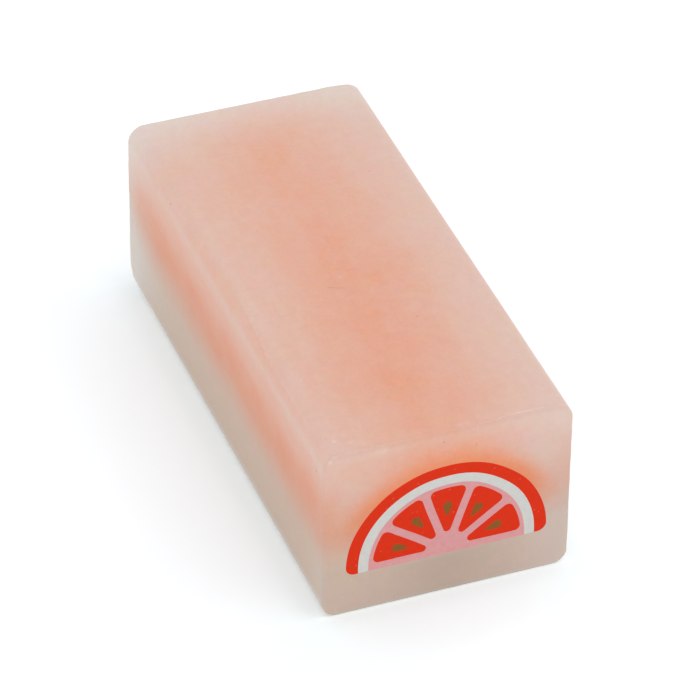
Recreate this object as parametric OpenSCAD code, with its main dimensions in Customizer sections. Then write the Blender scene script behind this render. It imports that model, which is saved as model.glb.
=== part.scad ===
// Block eraser of soft translucent rubber with a picture extruded through its whole length.
// Every colour of the picture is a strand of its own, so each cut end shows the same fruit slice.
// The section lies in X and Z, the length runs along Y, and the block rests on Z = 0.

/* [Block] */
// Length of the block, from one cut end to the other
block_length = 50; // [40:1:70]
// Width of the block
block_width = 22; // [21:0.5:30]
// Height of the block
block_height = 17; // [16:0.5:25]
// Radius of the four long edges, which come round from the die
long_edge_radius = 1.45; // [0.5:0.05:3]

/* [Fruit slice] */
// Outer radius of the half slice, measured to the outside of its peel
slice_radius = 9; // [7.5:0.1:9.5]
// Height of the slice's flat side above the underside of the block
slice_base_height = 4; // [2.5:0.1:5]
// Radius of the two lower corners of the slice
slice_corner_radius = 0.8; // [0.5:0.05:1]
// Thickness of the peel
peel_thickness = 1.1; // [0.6:0.05:1.4]
// Thickness of the pith inside the peel
pith_thickness = 0.9; // [0.5:0.05:1.2]

/* [Segments] */
// Number of flesh segments
segment_count = 5; // [3:1:6]
// Thickness of the membrane between two segments, and along the flat side
membrane_thickness = 0.7; // [0.4:0.05:1]
// Radius of the two outer corners of a segment
segment_corner_radius = 0.5; // [0.3:0.05:0.6]
// Radius of the inner tip of a segment
segment_tip_radius = 0.35; // [0.2:0.05:0.5]

/* [Pips] */
// Flesh left between a pip's round end and the outer side of its segment
pip_end_wall = 1.5; // [1.2:0.1:2]
// Distance between the centres of a pip's round end and its point
pip_taper_length = 0.9; // [0.6:0.05:1.1]
// Radius of a pip's round end
pip_radius = 0.42; // [0.3:0.02:0.5]
// Radius of a pip's point
pip_point_radius = 0.14; // [0.1:0.02:0.2]

/* [Hidden] */

$fn = 96;
// Most that a computed arc's chords may lie inside the true arc
arc_tolerance = 0.004;
// Length that a cutting shape runs past what it cuts
overshoot = 1;

// The membrane's lowest web is as thick as the others, so the fan's centre is half of it up
fan_lift = membrane_thickness / 2;
slice_centre_z = slice_base_height + fan_lift;
pith_outer_radius = slice_radius - peel_thickness;
membrane_outer_radius = pith_outer_radius - pith_thickness;
// The pith keeps the segments off its inner face by half a membrane
segment_outer_radius = membrane_outer_radius - membrane_thickness / 2;
segment_half_angle = 90 / segment_count;
pip_distance = segment_outer_radius - pip_end_wall - pip_radius;

clear_colour = [0.90, 0.76, 0.69];
red_colour = [0.86, 0.24, 0.12];
white_colour = [0.91, 0.92, 0.90];
pink_colour = [0.86, 0.66, 0.69];
brown_colour = [0.50, 0.31, 0.10];

// Points of an arc about a centre, from one angle to another
function arc(centre, radius, from, to) =
    let (
        chord_angle = 2 * acos(1 - arc_tolerance / radius),
        steps = ceil(abs(to - from) / chord_angle)
    )
    [for (i = [0:steps])
        let (angle = from + (to - from) * i / steps)
        centre + radius * [cos(angle), sin(angle)]];

// Unit vector at an angle
function toward(angle) = [cos(angle), sin(angle)];

// Direction in which a segment points, counted from the right-hand end of the flat side
function segment_angle(index) = (2 * index - 1) * segment_half_angle;

// Outline of the half slice about the fan's centre: a dome on a flat side, with two round corners
function slice_outline() =
    let (
        corner = slice_corner_radius,
        corner_z = corner - fan_lift,
        corner_x = sqrt(pow(slice_radius - corner, 2) - pow(corner_z, 2)),
        join_angle = atan2(corner_z, corner_x)
    )
    concat(
        arc([corner_x, corner_z], corner, -90, join_angle),
        arc([0, 0], slice_radius, join_angle, 180 - join_angle),
        arc([-corner_x, corner_z], corner, 180 - join_angle, 270)
    );

// Outline of one flesh segment: a wedge with round corners between two membranes
function segment_outline(index) =
    let (
        middle = segment_angle(index),
        corner = segment_corner_radius,
        corner_distance = segment_outer_radius - corner,
        turn = asin((membrane_thickness / 2 + corner) / corner_distance),
        right = middle - segment_half_angle,
        left = middle + segment_half_angle,
        tip_distance = (membrane_thickness / 2 + segment_tip_radius) / sin(segment_half_angle)
    )
    concat(
        arc(corner_distance * toward(right + turn), corner, right - 90, right + turn),
        arc([0, 0], segment_outer_radius, right + turn, left - turn),
        arc(corner_distance * toward(left - turn), corner, left - turn, left + 90),
        arc(tip_distance * toward(middle), segment_tip_radius, left + 90, right + 270)
    );

// Outline of one pip: a round end that tapers to a point on the side of the slice's centre
function pip_outline(index) =
    let (
        middle = segment_angle(index),
        lean = acos((pip_radius - pip_point_radius) / pip_taper_length),
        inward = middle + 180
    )
    concat(
        arc((pip_distance - pip_taper_length) * toward(middle), pip_point_radius, inward - lean, inward + lean),
        arc(pip_distance * toward(middle), pip_radius, inward + lean, inward + 360 - lean)
    );

// Carries a section drawn in X and Z along the whole length of the block
module along_block() {
    rotate([90, 0, 0])
        linear_extrude(height = block_length, center = true)
            children();
}

// Moves a section from the fan's centre to its place in the block
module in_slice() {
    translate([0, slice_centre_z])
        children();
}

// Section of the block with its round long edges
module block_section() {
    flat_x = block_width / 2 - long_edge_radius;
    low_z = long_edge_radius;
    high_z = block_height - long_edge_radius;
    translate([-flat_x, 0])
        square([2 * flat_x, block_height]);
    translate([-block_width / 2, low_z])
        square([block_width, high_z - low_z]);
    for (x = [-flat_x, flat_x], z = [low_z, high_z])
        translate([x, z])
            circle(r = long_edge_radius);
}

// Half disc of a given radius about the fan's centre, cut off level with the slice's flat side
module half_disc(radius) {
    difference() {
        circle(r = radius);
        translate([-radius - overshoot, -radius - overshoot])
            square([2 * (radius + overshoot), radius + overshoot - fan_lift]);
    }
}

// Translucent body with the slice's outline running through it
module clear_block() {
    color(clear_colour)
        along_block()
            difference() {
                block_section();
                in_slice() polygon(slice_outline());
            }
}

// Peel: the arch that stands on the slice's flat side
module peel_strand() {
    color(red_colour)
        along_block()
            in_slice()
                difference() {
                    polygon(slice_outline());
                    circle(r = pith_outer_radius);
                }
}

// Pith: the white arch inside the peel
module pith_strand() {
    color(white_colour)
        along_block()
            in_slice()
                difference() {
                    half_disc(pith_outer_radius);
                    circle(r = membrane_outer_radius);
                }
}

// Membrane: the web that holds the segments apart
module membrane_strand() {
    color(pink_colour)
        along_block()
            in_slice()
                difference() {
                    half_disc(membrane_outer_radius);
                    for (index = [1:segment_count])
                        polygon(segment_outline(index));
                }
}

// Flesh segment, counted from the right as the front end is seen
module segment_strand(index) {
    color(red_colour)
        along_block()
            in_slice()
                difference() {
                    polygon(segment_outline(index));
                    polygon(pip_outline(index));
                }
}

// Pip inside a flesh segment
module pip_strand(index) {
    color(brown_colour)
        along_block()
            in_slice()
                polygon(pip_outline(index));
}

clear_block();
peel_strand();
pith_strand();
membrane_strand();
for (index = [1:segment_count]) {
    segment_strand(index);
    pip_strand(index);
}
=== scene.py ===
"""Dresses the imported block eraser: milky rubber with a fruit slice run through its whole length.

Each piece stands where its CAD node stands. Sections lie in X and Z, the length runs along Y, and the
front cut end is at the lowest Y. Lengths are in metres, and MM turns millimetres into them.
"""

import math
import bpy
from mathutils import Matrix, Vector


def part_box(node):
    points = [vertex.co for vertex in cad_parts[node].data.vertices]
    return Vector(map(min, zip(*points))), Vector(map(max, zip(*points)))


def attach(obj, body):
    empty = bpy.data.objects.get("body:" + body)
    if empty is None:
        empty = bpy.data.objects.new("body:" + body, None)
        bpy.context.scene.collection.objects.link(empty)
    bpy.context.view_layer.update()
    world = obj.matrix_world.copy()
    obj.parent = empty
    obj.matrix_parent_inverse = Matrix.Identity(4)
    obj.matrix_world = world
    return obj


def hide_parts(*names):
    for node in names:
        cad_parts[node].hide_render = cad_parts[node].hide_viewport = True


bl_info = {
    "name": "Picture Block Eraser",
    "version": (1, 0, 0),
    "blender": (4, 5, 0),
    "location": "3D View > Sidebar > Eraser",
    "description": "Builds the milky block, the fruit slice in it and the studio stage",
    "category": "Add Mesh",
}

import bpy
import numpy as np
from mathutils import Matrix, Vector, noise
from mathutils.geometry import delaunay_2d_cdt

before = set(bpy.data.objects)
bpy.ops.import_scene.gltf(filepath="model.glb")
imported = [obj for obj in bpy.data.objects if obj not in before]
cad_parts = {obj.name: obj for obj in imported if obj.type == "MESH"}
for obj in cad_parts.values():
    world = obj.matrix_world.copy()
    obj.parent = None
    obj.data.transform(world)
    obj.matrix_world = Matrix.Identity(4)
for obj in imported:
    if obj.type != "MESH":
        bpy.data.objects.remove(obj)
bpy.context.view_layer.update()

MM = 0.001
BODY = "root"

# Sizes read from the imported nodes
BLOCK_LOW, BLOCK_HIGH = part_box("clear_block")
HALF_WIDTH = BLOCK_HIGH.x
HALF_LENGTH = BLOCK_HIGH.y
HEIGHT = BLOCK_HIGH.z
PEEL_LOW, PEEL_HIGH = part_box("peel_strand")
SLICE_RADIUS = PEEL_HIGH.x
FAN_Z = PEEL_HIGH.z - SLICE_RADIUS
FAN_LIFT = FAN_Z - PEEL_LOW.z
PITH_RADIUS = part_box("pith_strand")[1].x
MEMBRANE_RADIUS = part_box("membrane_strand")[1].x
# Half a membrane lies between a segment and the pith, and between a segment and each ray of the fan
HALF_WEB = FAN_LIFT
SEGMENT_RADIUS = MEMBRANE_RADIUS - HALF_WEB
SEGMENT_COUNT = sum(name.startswith("segment_strand_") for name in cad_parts)
HALF_FAN_ANGLE = 90.0 / SEGMENT_COUNT
MIDDLE_PIP_LOW, MIDDLE_PIP_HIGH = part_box(f"pip_strand_{(SEGMENT_COUNT + 1) // 2}")
PIP_RADIUS = MIDDLE_PIP_HIGH.x
PIP_DISTANCE = MIDDLE_PIP_HIGH.z - PIP_RADIUS - FAN_Z

# Where the right side, the rear cut and the top lie in the shaders, which count in millimetres
SIDE_X = HALF_WIDTH / MM
CUT_Y = HALF_LENGTH / MM
TOP_Z = HEIGHT / MM

# Specks of dust on the skin: place and radius, in millimetres
DUST = (
    ((-10.8, 13.8, 16.2), 0.10),
    ((-11.0, -23.3, 14.5), 0.11),
    ((-0.5, -25.0, 15.9), 0.09),
    ((2.4, -25.0, 14.9), 0.07),
    ((-11.0, 3.0, 4.2), 0.09),
    ((3.1, -9.6, 17.0), 0.08),
    ((6.8, 11.5, 17.0), 0.08),
    ((11.0, -6.0, 12.0), 0.09),
    ((11.0, 17.0, 6.0), 0.08),
    ((-4.4, 25.0, 2.1), 0.08),
    ((5.0, 8.0, 0.0), 0.12),
    ((-6.0, -14.0, 0.0), 0.10),
)

# Pale smudges where the edges of the front cut are rubbed: place, radius in millimetres, and share
SMUDGES = (
    ((-10.45, -25.0, 16.45), 0.13, 1.0),
    ((-10.1, -24.9, 16.85), 0.14, 0.5),
    ((-9.4, -23.1, 17.0), 0.13, 0.7),
    ((-8.2, -23.7, 17.0), 0.16, 0.3),
    ((-8.4, -22.6, 17.0), 0.22, 0.22),
    ((-7.3, -24.1, 17.0), 0.2, 0.2),
    ((-6.3, -25.0, 16.4), 0.22, 0.35),
    ((-5.7, -25.0, 16.45), 0.24, 0.4),
    ((1.1, -24.6, 17.0), 0.22, 0.25),
    ((1.7, -24.6, 17.0), 0.2, 0.2),
    ((2.1, -25.0, 16.6), 0.1, 0.35),
    ((2.5, -25.0, 16.55), 0.1, 0.35),
    ((6.5, 25.0, 16.3), 0.2, 0.4),
    ((10.7, 24.6, 9.0), 0.2, 0.4),
)

# Distances from a cut at which the block has more rings, in millimetres, closest at its round edge
NEAR_CUT = (0.012, 0.03, 0.055, 0.09, 0.14, 0.21, 0.32)

# Inner points of a cut face stay this many steps away from its outlines
RIM_GAP = 0.6

# Faces that meet at more than this angle meet at a sharp edge
SHARP_ANGLE = math.radians(40)

# Soft patches of the rubber lean to one of these, as shares of its colour
PINK_LEAN = (1.0, 0.985, 1.012)
TAN_LEAN = (0.995, 1.0, 0.965)

# Flecks in the milky rubber, as a linear colour
PALE_FLECK = (1.0, 0.93, 0.88)

# Painted light on the floor where it is seen, as linear colours: beside the block, in front of it on
# the left and on the right, and the warm painted light added close to its foot beside it and in front of it
SIDE_SHINE = (0.14, 0.145, 0.152)
FRONT_LEFT_SHINE = (0.075, 0.1, 0.098)
FRONT_RIGHT_SHINE = (0.095, 0.125, 0.125)
CLOSE_SIDE_SHINE = (0.05, 0.034, 0.02)
CLOSE_FRONT_SHINE = (0.11, 0.095, 0.075)

# Colours of the backdrop and of the floor where it is seen
PLAIN_WHITE = (1.0, 1.0, 1.0)
COOL_WHITE = (0.92, 0.975, 1.0)

# The key light stands to the right, in front and above
KEY_PLACE = (0.24, -0.12, 0.42)

# Threads left by the blade: which cut, start and end round its edge from the middle of the top, share of the
# full thickness, and bow away from the cut. A thread starts with a knob. Front is -1 and rear is 1, and a
# distance to the left is positive. Millimetres.
BURRS = (
    (-1, -4.3, -8.8, 1.0, 0.2),
    (1, -6.0, -2.0, 0.7, 0.05),
    (1, 14.0, 17.5, 0.8, 0.0),
    (1, 33.0, 39.0, 0.9, 0.1),
)

# Between two points of a thread, and how far its knob reaches, in millimetres
BURR_STEP = 0.08
KNOB_LENGTH = 0.16

# How much a thread's radius changes along it, the least share at its ends, and the size of its knob
BURR_CHANGE = 0.35
BURR_END_SHARE = 0.15
KNOB_SIZE = 1.5


def screen(red, green, blue):
    """Linear colour of a surface that looks like this on screen, from 0 to 255."""
    def linear(value):
        share = value / 255.0
        return share / 12.92 if share <= 0.04045 else ((share + 0.055) / 1.055) ** 2.4
    return (linear(red), linear(green), linear(blue))


def opaque(colour):
    """A colour with its alpha of 1, as a colour socket takes it."""
    return (*colour, 1.0)


# Settings

def length(name, description, default, **limits):
    """A length in metres."""
    return bpy.props.FloatProperty(
        name=name, description=description, default=default, min=0.0, precision=5,
        subtype="DISTANCE", unit="LENGTH", **limits)


def colour(name, description, default):
    """A linear colour."""
    return bpy.props.FloatVectorProperty(
        name=name, description=description, default=default, min=0.0, max=1.0, size=3, subtype="COLOR")


class EraserBlockSettings(bpy.types.PropertyGroup):
    """Form of the milky block."""

    upper_edge_radius: length("Upper Edge Radius", "Radius of the two upper long edges", 1.5 * MM)
    lower_edge_radius: length("Lower Edge Radius", "Radius of the two lower long edges", 1.35 * MM)
    wall_step: length("Wall Step", "Distance between the points of the block's section", 0.22 * MM)
    ring_step: length("Ring Step", "Distance between the rings along the block", 0.5 * MM)
    unevenness: length("Unevenness", "How far the moulded sides sink between their high places", 0.04 * MM)
    cut_rounding: length("Cut Rounding", "Mean radius of the cut ends' edges", 0.12 * MM)
    crease_depth: length("Crease Depth", "Depth of the crease along the upper left edge", 0.04 * MM)
    worn_corner: length("Worn Corner", "Radius of the worn lower left corner of the rear end", 3.3 * MM)
    worn_tips: length("Worn Tips", "How far the rear end's upper corners are worn back", 0.34 * MM)
    burr_radius: length("Burr Radius", "Radius of the threads that the blade left on the edges", 0.048 * MM)


class EraserPictureSettings(bpy.types.PropertyGroup):
    """Form of the fruit slice."""

    slice_corner_radius: length("Slice Corner Radius", "Radius of the slice's two lower corners", 0.8 * MM)
    segment_corner_radius: length("Segment Corner Radius", "Radius of a segment's outer corners", 0.5 * MM)
    segment_tip_radius: length("Segment Tip Radius", "Radius of a segment's inner tip", 0.35 * MM)
    pip_point_radius: length("Pip Point Radius", "Radius of a pip's point", 0.14 * MM)
    outline_step: length("Outline Step", "Distance between the points of the picture's outlines", 0.12 * MM)
    ring_step: length("Ring Step", "Distance between the rings along a strand", 2.5 * MM)
    cut_step: length("Cut Step", "Distance between the points of the cut faces", 0.3 * MM)
    cut_relief: length("Cut Relief", "How far the cut faces sink between their high places", 0.04 * MM)
    wobble: length("Wobble", "How far the picture's outlines stray from their drawn place", 0.07 * MM)


class EraserColourSettings(bpy.types.PropertyGroup):
    """Colours of the rubbers, as they look in plain light."""

    milk: colour("Milk", "Milky rubber in its upper half", screen(225, 206, 197))
    low_milk: colour("Low Milk", "Milky rubber low down, where less light comes", screen(225, 202, 184))
    core_glow: colour("Core Glow", "Milky rubber lit through by the red strands", screen(235, 146, 104))
    # Painted light: milky rubber made paler where light comes in near the rear cut, along the foot and
    # beside the front cut
    pale_light_end: colour("Clear End", "Milky rubber at the thin rear edges", screen(225, 218, 210))
    red: colour("Red", "Peel and flesh", screen(219, 45, 6))
    white: colour("White", "Pith", screen(208, 209, 205))
    pink: colour("Pink", "Membrane", screen(217, 155, 157))
    brown: colour("Brown", "Pips", screen(138, 86, 33))
    dust: colour("Dust", "Dark specks that stick to the rubber", screen(120, 92, 80))
    burr: colour("Burr", "Thin threads of rubber that the blade left", screen(236, 216, 205))


class EraserStageSettings(bpy.types.PropertyGroup):
    """Camera, lamps and floor."""

    azimuth: bpy.props.FloatProperty(
        name="Azimuth", description="Where the camera stands round the block, from straight ahead",
        default=math.radians(-20.92), subtype="ANGLE", unit="ROTATION")
    elevation: bpy.props.FloatProperty(
        name="Elevation", description="How far the camera looks down",
        default=math.radians(37.31), subtype="ANGLE", unit="ROTATION")
    roll: bpy.props.FloatProperty(
        name="Roll", description="Turn of the camera about its own axis",
        default=math.radians(0.61), subtype="ANGLE", unit="ROTATION")
    distance: length("Distance", "From the camera to the middle of the block", 433.5 * MM)
    focal_length: bpy.props.FloatProperty(
        name="Focal Length", description="Focal length on a 36 mm sensor", default=257.66, unit="CAMERA")
    aim_right: length("Aim Right", "How far the aim lies to the right of the block's middle", 0.718 * MM)
    aim_below: length("Aim Below", "How far the aim lies below the block's middle", 0.957 * MM)
    tent_strength: bpy.props.FloatProperty(
        name="Tent Strength", description="Light from the white tent all round", default=0.9, min=0.0)
    key_strength: bpy.props.FloatProperty(
        name="Key Strength", description="Light from high up on the right, in watts per square metre",
        default=0.45, min=0.0)
    key_spread: bpy.props.FloatProperty(
        name="Key Spread", description="How wide the key light looks from the block",
        default=math.radians(50.0), subtype="ANGLE", unit="ROTATION")
    floor_size: length("Floor Size", "Side of the white floor", 2.0)


# Outlines in X and Z

def arc(centre, radius, start, end, step):
    """Points of an arc about a centre between two angles in degrees, no further apart than a step."""
    turn = math.radians(end - start)
    count = max(1, math.ceil(abs(turn) * radius / step))
    angles = math.radians(start) + turn * np.linspace(0.0, 1.0, count + 1)
    return np.stack([centre[0] + radius * np.cos(angles), centre[1] + radius * np.sin(angles)], axis=1)


def straight(start, end, step):
    """Points of a straight run, no further apart than a step."""
    count = max(1, math.ceil(math.dist(start, end) / step))
    share = np.linspace(0.0, 1.0, count + 1)[:, None]
    return np.asarray(start) * (1.0 - share) + np.asarray(end) * share


def closed(*runs):
    """One closed outline from runs that each end where the next one starts."""
    return np.concatenate([run[:-1] for run in runs])


def toward(angle):
    """Unit vector at an angle in degrees."""
    return np.array([math.cos(math.radians(angle)), math.sin(math.radians(angle))])


def in_block(fan_outline):
    """Moves an outline from the fan's centre to its place in the block."""
    return fan_outline + np.array([0.0, FAN_Z])


def block_outline(upper, lower, step):
    """Section of the block, from its lower left corner round against the clock."""
    low_x = HALF_WIDTH - lower
    high_x = HALF_WIDTH - upper
    high_z = HEIGHT - upper
    corner_step = step / 2
    return closed(
        straight((-low_x, 0.0), (low_x, 0.0), step),
        arc((low_x, lower), lower, -90, 0, corner_step),
        straight((HALF_WIDTH, lower), (HALF_WIDTH, high_z), step),
        arc((high_x, high_z), upper, 0, 90, corner_step),
        straight((high_x, HEIGHT), (-high_x, HEIGHT), step),
        arc((-high_x, high_z), upper, 90, 180, corner_step),
        straight((-HALF_WIDTH, high_z), (-HALF_WIDTH, lower), step),
        arc((-low_x, lower), lower, 180, 270, corner_step))


def foot_x(radius):
    """Where a circle about the fan's centre meets the slice's flat side."""
    return math.sqrt(radius ** 2 - FAN_LIFT ** 2)


def base_run(left, right, step):
    """A run of the slice's flat side, from left to right."""
    return straight((left, -FAN_LIFT), (right, -FAN_LIFT), step)


def half_ring(radius, step):
    """An arch about the fan's centre, from its right foot to its left one."""
    dip = math.degrees(math.asin(FAN_LIFT / radius))
    return arc((0.0, 0.0), radius, -dip, 180 + dip, step)


def slice_arch(corner, step):
    """Outside of the slice above its flat side, from the right corner over the dome to the left one."""
    corner_z = corner - FAN_LIFT
    corner_x = math.sqrt((SLICE_RADIUS - corner) ** 2 - corner_z ** 2)
    join = math.degrees(math.atan2(corner_z, corner_x))
    right = arc((corner_x, corner_z), corner, -90, join, step)
    dome = arc((0.0, 0.0), SLICE_RADIUS, join, 180 - join, step)
    left = arc((-corner_x, corner_z), corner, 180 - join, 270, step)
    return np.concatenate([right[:-1], dome[:-1], left])


def slice_outline(corner, step):
    """The whole slice: its flat side in the same runs that the strands above it have, and its arch."""
    arch = slice_arch(corner, step)
    stops = [arch[-1][0], -foot_x(PITH_RADIUS), -foot_x(MEMBRANE_RADIUS)]
    stops += [-stop for stop in reversed(stops)]
    base = [base_run(left, right, step) for left, right in zip(stops, stops[1:])]
    return in_block(closed(*base, arch))


def peel_outline(corner, step):
    """The red arch."""
    arch = slice_arch(corner, step)
    foot = foot_x(PITH_RADIUS)
    return in_block(closed(
        base_run(foot, arch[0][0], step),
        arch,
        base_run(arch[-1][0], -foot, step),
        half_ring(PITH_RADIUS, step)[::-1]))


def pith_outline(step):
    """The white arch inside the peel."""
    outer_foot = foot_x(PITH_RADIUS)
    inner_foot = foot_x(MEMBRANE_RADIUS)
    return in_block(closed(
        base_run(inner_foot, outer_foot, step),
        half_ring(PITH_RADIUS, step),
        base_run(-outer_foot, -inner_foot, step),
        half_ring(MEMBRANE_RADIUS, step)[::-1]))


def membrane_outline(step):
    """The half disc that the membrane fills between the segments."""
    foot = foot_x(MEMBRANE_RADIUS)
    return in_block(closed(base_run(-foot, foot, step), half_ring(MEMBRANE_RADIUS, step)))


def segment_angle(index):
    """Direction in which a segment points, counted from the right."""
    return (2 * index - 1) * HALF_FAN_ANGLE


def segment_outline(index, corner, tip, step):
    """A wedge with round corners between two membranes."""
    middle = segment_angle(index)
    right = middle - HALF_FAN_ANGLE
    left = middle + HALF_FAN_ANGLE
    corner_distance = SEGMENT_RADIUS - corner
    turn = math.degrees(math.asin((HALF_WEB + corner) / corner_distance))
    tip_distance = (HALF_WEB + tip) / math.sin(math.radians(HALF_FAN_ANGLE))
    right_corner = arc(corner_distance * toward(right + turn), corner, right - 90, right + turn, step)
    outside = arc((0.0, 0.0), SEGMENT_RADIUS, right + turn, left - turn, step)
    left_corner = arc(corner_distance * toward(left - turn), corner, left - turn, left + 90, step)
    point = arc(tip_distance * toward(middle), tip, left + 90, right + 270, step)
    return in_block(closed(
        right_corner,
        outside,
        left_corner,
        straight(left_corner[-1], point[0], step),
        point,
        straight(point[-1], right_corner[0], step)))


def drawn_segment(picture, index):
    """A segment's outline by the picture's settings."""
    corner = picture.segment_corner_radius
    return segment_outline(index, corner, picture.segment_tip_radius, picture.outline_step)


def pip_outline(index, point_radius, step):
    """A round end that tapers to a point on the side of the fan's centre."""
    middle = segment_angle(index)
    taper = PIP_DISTANCE - (MIDDLE_PIP_LOW.z + point_radius - FAN_Z)
    lean = math.degrees(math.acos((PIP_RADIUS - point_radius) / taper))
    inward = middle + 180
    point = arc((PIP_DISTANCE - taper) * toward(middle), point_radius, inward - lean, inward + lean, step)
    round_end = arc(PIP_DISTANCE * toward(middle), PIP_RADIUS, inward + lean, inward + 360 - lean, step)
    return in_block(closed(
        point,
        straight(point[-1], round_end[0], step),
        round_end,
        straight(round_end[-1], point[0], step)))


# Meshes

def smooth_step(value, low, high):
    """0 below low, 1 above high, and a soft rise between them."""
    share = np.clip((value - low) / (high - low), 0.0, 1.0)
    return share * share * (3.0 - 2.0 * share)


def cloud(points, scale, seed):
    """Soft noise from -1 to 1 at points in metres, where scale is the size of a lump in metres."""
    shift = Vector((seed * 17.3, seed * 5.9, seed * 11.1))
    return np.array([noise.noise(Vector(point) / scale + shift) for point in points])


def in_space(section, y=0.0):
    """Points of a section in X and Z as points in space, at one place along the block or each at its own."""
    return np.column_stack([section[:, 0], np.broadcast_to(y, len(section)), section[:, 1]])


def stray(section, wobble):
    """Moves section points as soft rubber strays in the die: most at the picture, none at the outside."""
    still_rim = 0.4 * MM
    full_depth = 2.0 * MM
    lump = 3.2 * MM
    x, z = section.T
    inside = np.minimum(HALF_WIDTH - np.abs(x), np.minimum(z, HEIGHT - z))
    share = smooth_step(inside, still_rim, full_depth)
    flat = in_space(section)
    moves = np.column_stack([cloud(flat, lump, seed=1), cloud(flat, lump, seed=2)])
    return section + moves * (wobble * share)[:, None]


def cut_depth(section, relief, seed):
    """How far a cut face lies behind its plane: broad swells from the cure and shallow blade strokes."""
    swell_size = 6.0 * MM
    stroke_width = 0.45 * MM
    stroke_shape = np.array([1.0, 1.0, 0.14])
    swell_share = 0.75
    flat = in_space(section)
    swell = 0.5 + 0.5 * cloud(flat, swell_size, seed)
    stroke = 0.5 + 0.5 * cloud(flat * stroke_shape, stroke_width, seed + 7)
    return relief * (swell_share * swell + (1.0 - swell_share) * stroke)


def worn(settings):
    """How far the rear cut is worn back: most at its lower left corner, and a little at both upper ones."""
    right_reach = 3.8 * MM
    left_reach = 2.2 * MM
    left_share = 0.45

    def depth(section):
        x, z = section.T
        radius = settings.worn_corner
        along = np.clip(radius - z, 0.0, radius)
        round_off = radius - np.sqrt(radius ** 2 - along ** 2)
        lower_left = round_off * smooth_step(-x, HALF_WIDTH - 2.2 * radius, HALF_WIDTH)
        upper_right = smooth_step(x, HALF_WIDTH - right_reach, HALF_WIDTH)
        upper_left = left_share * smooth_step(-x, HALF_WIDTH - left_reach, HALF_WIDTH)
        at_top = smooth_step(z, HEIGHT - 3.5 * MM, HEIGHT - 0.5 * MM)
        return lower_left + settings.worn_tips * at_top * (upper_right + upper_left)
    return depth


def inside_loops(points, loops):
    """Which points lie inside an odd number of closed outlines."""
    found = np.zeros(len(points), bool)
    for loop in loops:
        start = loop
        end = np.roll(loop, -1, axis=0)
        for (x0, z0), (x1, z1) in zip(start, end):
            spans = (z0 > points[:, 1]) != (z1 > points[:, 1])
            if z1 == z0:
                continue
            cross_x = x0 + (points[:, 1] - z0) * (x1 - x0) / (z1 - z0)
            found ^= spans & (points[:, 0] < cross_x)
    return found


def cut_pattern(loops, step):
    """Inner points and triangles of a cut face between its outlines.

    The triangles count the outlines' points first, loop by loop, and then the inner ones.
    """
    rim = np.concatenate(loops)
    low = rim.min(axis=0)
    high = rim.max(axis=0)
    rows = np.arange(low[1], high[1], step * math.sqrt(3) / 2)
    spots = []
    for count, row in enumerate(rows):
        offset = step / 2 if count % 2 else 0.0
        spots += [(x, row) for x in np.arange(low[0] + offset, high[0], step)]
    spots = np.array(spots)
    spots = spots[inside_loops(spots, loops)]
    gaps = np.array([np.min(np.hypot(rim[:, 0] - x, rim[:, 1] - z)) for x, z in spots])
    inner = spots[gaps > RIM_GAP * step] if len(spots) else spots.reshape(0, 2)
    points = np.concatenate([rim, inner])
    edges = []
    first = 0
    for loop in loops:
        size = len(loop)
        edges += [(first + i, first + (i + 1) % size) for i in range(size)]
        first += size
    _, _, triangles, sources, _, _ = delaunay_2d_cdt(
        [Vector(point) / MM for point in points], edges, [], 0, 1e-6)
    number = [source[0] for source in sources]
    triangles = np.array([[number[i] for i in triangle] for triangle in triangles])
    kept = triangles[inside_loops(points[triangles].mean(axis=1), loops)]
    a, b, c = (points[kept[:, i]] for i in range(3))
    turned = (b[:, 0] - a[:, 0]) * (c[:, 1] - a[:, 1]) - (b[:, 1] - a[:, 1]) * (c[:, 0] - a[:, 0]) < 0
    kept[turned] = kept[turned][:, ::-1]
    return inner, kept


def stations(ring_step, near_cut=()):
    """Shares of the length at which rings stand, with more of them at these distances from both cuts."""
    whole = 2 * HALF_LENGTH
    count = round(whole / ring_step)
    reach = max(near_cut, default=0.0)
    evenly = [i / count for i in range(count + 1)]
    kept = [share for share in evenly if reach < share * whole < whole - reach]
    ends = [distance / whole for distance in (0.0, *near_cut)]
    return np.array(ends + kept + [1.0 - share for share in reversed(ends)])


def add_object(name, points, faces):
    """A new object in the scene with a smooth mesh of these points and faces."""
    mesh = bpy.data.meshes.new(name)
    mesh.from_pydata(points, [], faces)
    mesh.update()
    if mesh.validate():
        raise RuntimeError(f"{name} has faces that don't fit together")
    mesh.shade_smooth()
    added = bpy.data.objects.new(name, mesh)
    bpy.context.scene.collection.objects.link(added)
    return added


def wall_faces(loops, ring_count):
    """Faces between the rings, where the first loop is the outline and the others are holes."""
    rim_size = sum(len(loop) for loop in loops)
    faces = []
    first = 0
    for number, loop in enumerate(loops):
        size = len(loop)
        for ring in range(ring_count - 1):
            here = ring * rim_size + first
            there = here + rim_size
            for i in range(size):
                j = (i + 1) % size
                corners = (here + i, here + j, there + j, there + i)
                faces.append(corners if number == 0 else corners[::-1])
        first += size
    return faces


def cut_faces(triangles, rim_size, ring_count, inner_count):
    """Faces of the front cut and the rear one, whose inner points come after all the rings."""
    last_ring = (ring_count - 1) * rim_size
    faces = []
    for triangle in triangles.tolist():
        at_front = [i if i < rim_size else i + last_ring for i in triangle]
        at_rear = [i + last_ring if i < rim_size else i + last_ring + inner_count for i in triangle]
        faces.append(at_front)
        faces.append(at_rear[::-1])
    return faces


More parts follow.
